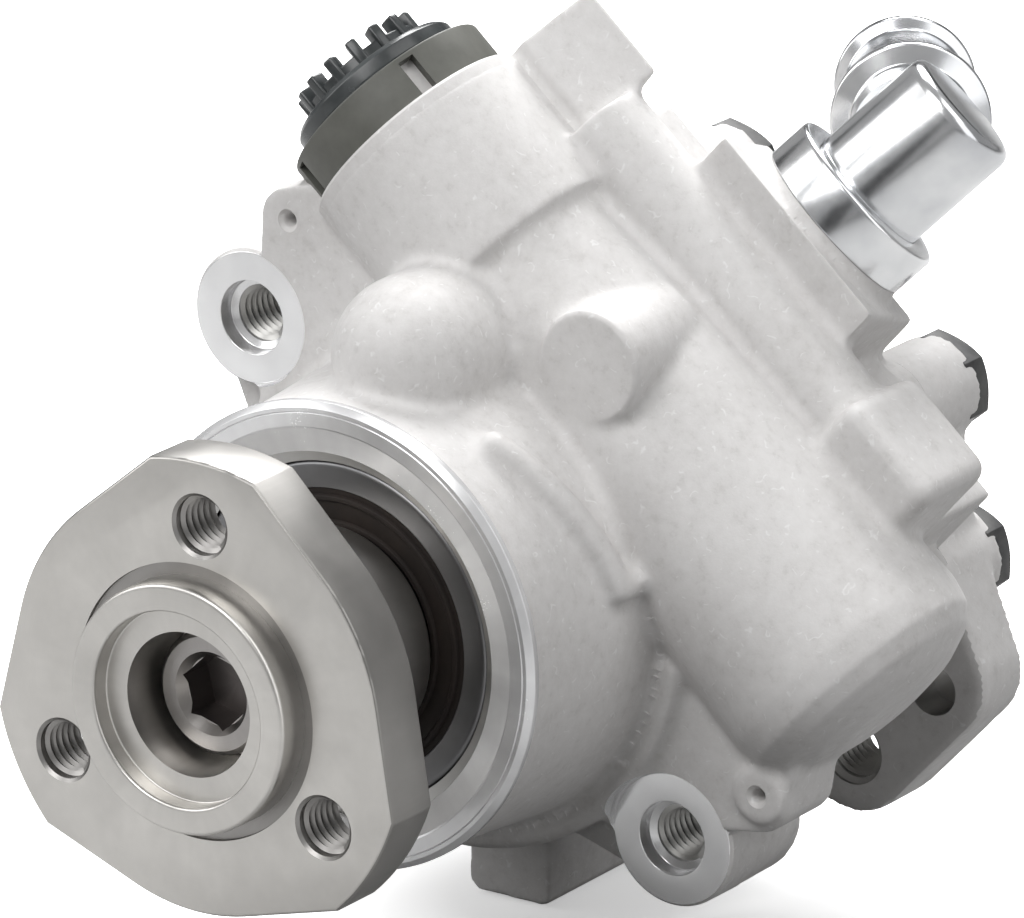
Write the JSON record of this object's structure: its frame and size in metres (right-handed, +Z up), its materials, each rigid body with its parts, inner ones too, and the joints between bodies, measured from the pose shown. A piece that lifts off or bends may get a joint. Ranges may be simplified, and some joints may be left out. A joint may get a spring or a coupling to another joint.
{
  "type": "power steering pump",
  "caption": "Vane pump in a cast aluminium housing: three-lobed drive flange, sealed shaft bearing, cross valve bore with a capped outlet, beaded suction stub and threaded ears.",
  "frame": {"origin": "on the shaft axis, in the plane of the drive flange's front face", "axes": "+Y runs back along the shaft from the flange to the rear cover; +Z is up as the pump lies in the picture, with the valve bore rolled 41.5 degrees about the shaft"},
  "size_m": [0.1191, 0.1395, 0.1238],
  "materials": {
    "cast_aluminium": "as cast, fine grain, satin",
    "hub_steel": "ground and turned, satin",
    "shaft_steel": "turned, satin",
    "bearing_steel": "ground",
    "cage_steel": "pressed sheet",
    "seal_rubber": "dark brown, matt",
    "cartridge_steel": "ground",
    "bush_brass": "turned",
    "ring_rubber": "matt",
    "bolt_steel": "dark plated",
    "zinc_plate": "bright zinc plate",
    "sleeve_plastic": "moulded, dark olive grey",
    "cap_plastic": "moulded, dark slate, glossy",
    "spring_steel": "drawn wire"
  },
  "bodies": {
    "housing": {"pump_housing": "cast_aluminium", "bearing_outer_ring": "bearing_steel", "bearing_front_seal": "seal_rubber", "bearing_rear_seal": "seal_rubber", "shaft_seal": "seal_rubber", "front_pressure_plate": "cartridge_steel", "rear_pressure_plate": "cartridge_steel", "cam_ring": "cartridge_steel", "dowel_pins": "bearing_steel", "rear_cover": "cast_aluminium", "rear_bush": "bush_brass", "cover_o_ring": "ring_rubber", "cover_bolts": "bolt_steel", "inlet_collar": "zinc_plate", "inlet_can": "zinc_plate", "inlet_stub": "zinc_plate", "outlet_union": "shaft_steel", "port_sleeve": "sleeve_plastic", "port_cap": "cap_plastic", "valve_spring": "spring_steel"},
    "drive": {"drive_flange": "hub_steel", "drive_shaft": "shaft_steel", "bearing_inner_ring": "bearing_steel", "rotor": "cartridge_steel"},
    "cage": {"bearing_cage": "cage_steel", "bearing_balls": "bearing_steel"},
    "vane_01": {"vane_01": "cartridge_steel"},
    "vane_02": {"vane_02": "cartridge_steel"},
    "vane_03": {"vane_03": "cartridge_steel"},
    "vane_04": {"vane_04": "cartridge_steel"},
    "vane_05": {"vane_05": "cartridge_steel"},
    "vane_06": {"vane_06": "cartridge_steel"},
    "vane_07": {"vane_07": "cartridge_steel"},
    "vane_08": {"vane_08": "cartridge_steel"},
    "vane_09": {"vane_09": "cartridge_steel"},
    "vane_10": {"vane_10": "cartridge_steel"},
    "spool": {"valve_spool": "shaft_steel"}
  },
  "joints": [
    {"name": "shaft_spin", "type": "hinge", "parent": "housing", "child": "drive", "pos_m": [0, 0, 0], "axis": [0, 1, 0], "continuous": true},
    {"name": "bearing_cage_spin", "type": "hinge", "parent": "housing", "child": "cage", "pos_m": [0, 0, 0], "axis": [0, 1, 0], "continuous": true},
    {"name": "vane_01_slide", "type": "slide", "parent": "drive", "child": "vane_01", "axis": [0.9171, 0, -0.3987], "range_m": [0, 0.001]},
    {"name": "vane_02_slide", "type": "slide", "parent": "drive", "child": "vane_02", "axis": [0.9763, 0, 0.2164], "range_m": [0, 0.001]},
    {"name": "vane_03_slide", "type": "slide", "parent": "drive", "child": "vane_03", "axis": [0.6626, 0, 0.749], "range_m": [0, 0.001]},
    {"name": "vane_04_slide", "type": "slide", "parent": "drive", "child": "vane_04", "axis": [0.0958, 0, 0.9954], "range_m": [0, 0.001]},
    {"name": "vane_05_slide", "type": "slide", "parent": "drive", "child": "vane_05", "axis": [-0.5075, 0, 0.8616], "range_m": [0, 0.001]},
    {"name": "vane_06_slide", "type": "slide", "parent": "drive", "child": "vane_06", "axis": [-0.9171, 0, 0.3987], "range_m": [0, 0.001]},
    {"name": "vane_07_slide", "type": "slide", "parent": "drive", "child": "vane_07", "axis": [-0.9763, 0, -0.2164], "range_m": [0, 0.001]},
    {"name": "vane_08_slide", "type": "slide", "parent": "drive", "child": "vane_08", "axis": [-0.6626, 0, -0.749], "range_m": [0, 0.001]},
    {"name": "vane_09_slide", "type": "slide", "parent": "drive", "child": "vane_09", "axis": [-0.0958, 0, -0.9954], "range_m": [0, 0.001]},
    {"name": "vane_10_slide", "type": "slide", "parent": "drive", "child": "vane_10", "axis": [0.5075, 0, -0.8616], "range_m": [0, 0.001]},
    {"name": "valve_travel", "type": "slide", "parent": "housing", "child": "spool", "axis": [0.749, 0, -0.6626], "range_m": [0, 0.009], "stiffness_N_per_m": 2500, "springref_m": -0.004, "deforming": ["valve_spring"]}
  ],
  "couplings": [
    {"joint": "bearing_cage_spin", "follows": "shaft_spin", "ratio": 0.3832}
  ]
}
